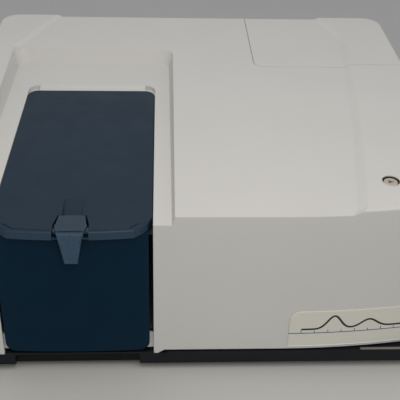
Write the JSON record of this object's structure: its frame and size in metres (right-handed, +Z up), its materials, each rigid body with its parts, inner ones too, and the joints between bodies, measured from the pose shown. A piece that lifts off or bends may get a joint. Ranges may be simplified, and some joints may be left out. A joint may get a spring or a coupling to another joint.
{
  "type": "uv-vis spectrophotometer",
  "caption": "Bench double-beam UV-vis spectrophotometer with a hinged sample lid, sprung latch lever and start button.",
  "frame": {"origin": "middle of the overall box at the surface the feet stand on", "axes": "+X to the right seen from the front, -Y towards the user, +Z up"},
  "size_m": [0.486, 0.441, 0.2157],
  "materials": {
    "cover_white": "fine textured moulded casing",
    "navy_panel": "satin textured navy moulding",
    "slate_lever": "speckled slate moulding",
    "base_dark": "dark textured base",
    "black_rubber": "matt rubber",
    "black_anodised": "black anodised",
    "cast_aluminium": "cast, bead blasted",
    "steel": "plain steel",
    "grey_sheet": "powder coated sheet",
    "button_grey": "satin button",
    "circuit_green": "printed circuit board",
    "black_plastic": "black moulding",
    "quartz": "polished quartz",
    "mirror_coat": "coated optics",
    "brass": "turned brass",
    "magnet": "nickel plated"
  },
  "bodies": {
    "casing": {"main_cover": "cover_white", "lamp_cover": "cover_white", "front_panel": "navy_panel", "base_tray": "base_dark", "rubber_feet": "black_rubber", "bench_mounts": "black_rubber", "light_seal": "black_rubber", "sample_chamber": "black_anodised", "accessory_plate": "black_anodised", "cell_holder": "black_anodised", "beam_slits": "black_anodised", "sample_detector": "black_anodised", "reference_detector": "black_anodised", "optical_bench": "cast_aluminium", "lamp_house": "cast_aluminium", "power_supply": "cast_aluminium", "hinge_brackets": "steel", "hinge_pins": "steel", "cover_screws": "steel", "usb_port": "steel", "fan_guard": "steel", "plate_thumbscrews": "steel", "rear_panel": "grey_sheet", "button_ring": "button_grey", "switch_board": "circuit_green", "preamp_board": "circuit_green", "main_board": "circuit_green", "button_switch": "black_plastic", "source_mirror_motor": "black_plastic", "filter_motor": "black_plastic", "grating_motor": "black_plastic", "ac_inlet": "black_plastic", "rocker_housing": "black_plastic", "fan_frame": "black_plastic", "deuterium_socket": "black_plastic", "halogen_socket": "black_plastic", "beam_windows": "quartz", "deuterium_lamp": "quartz", "halogen_lamp": "quartz", "detector_lenses": "quartz", "collimating_mirror": "mirror_coat", "focusing_mirror": "mirror_coat", "fold_mirrors": "mirror_coat", "beam_splitter": "mirror_coat", "board_standoffs": "brass", "catch_magnet": "magnet"},
    "lid": {"sample_lid": "navy_panel", "latch_pin": "steel", "latch_spring": "steel"},
    "latch": {"lid_latch": "slate_lever", "catch_plate": "steel"},
    "button": {"start_button": "button_grey"},
    "fuse_carrier": {"fuse_drawer": "black_plastic"},
    "rocker": {"power_rocker": "black_plastic"},
    "mirror_turret": {"source_mirror": "mirror_coat"},
    "filter_turret": {"filter_wheel": "black_anodised", "order_filters": "quartz"},
    "grating_drive": {"grating_table": "black_anodised", "grating": "mirror_coat"},
    "fan_rotor": {"fan_impeller": "black_plastic"}
  },
  "joints": [
    {"name": "lid_hinge", "type": "hinge", "parent": "casing", "child": "lid", "pos_m": [-0.1187, 0.0388, 0.17544], "axis": [-1, 0, 0], "range_deg": [0, 100]},
    {"name": "latch_pivot", "type": "hinge", "parent": "lid", "child": "latch", "pos_m": [-0.1187, -0.2065, 0.1607], "axis": [-1, 0, 0], "range_deg": [0, 12], "stiffness_Nm_per_rad": 0.06, "springref_deg": -14.32},
    {"name": "button_press", "type": "slide", "parent": "casing", "child": "button", "axis": [0, 0.0857, -0.9963], "range_m": [0, 0.0015], "stiffness_N_per_m": 700, "springref_m": -0.0012},
    {"name": "fuse_pull", "type": "slide", "parent": "casing", "child": "fuse_carrier", "axis": [0, 1, 0], "range_m": [0, 0.012]},
    {"name": "rocker_pivot", "type": "hinge", "parent": "casing", "child": "rocker", "pos_m": [-0.196, 0.2095, 0.066], "axis": [1, 0, 0], "range_deg": [0, 16]},
    {"name": "mirror_turn", "type": "hinge", "parent": "casing", "child": "mirror_turret", "pos_m": [0.152, 0.131, 0.1], "axis": [0, 0, 1], "range_deg": [0, 38]},
    {"name": "filter_turn", "type": "hinge", "parent": "casing", "child": "filter_turret", "pos_m": [0.172, 0.084, 0.1], "axis": [0, 1, 0], "continuous": true},
    {"name": "grating_turn", "type": "hinge", "parent": "casing", "child": "grating_drive", "pos_m": [0.1, 0, 0.1], "axis": [0, 0, 1], "range_deg": [-8, 32]},
    {"name": "fan_spin", "type": "hinge", "parent": "casing", "child": "fan_rotor", "pos_m": [0.156, 0.2105, 0.118], "axis": [0, 1, 0], "continuous": true}
  ]
}
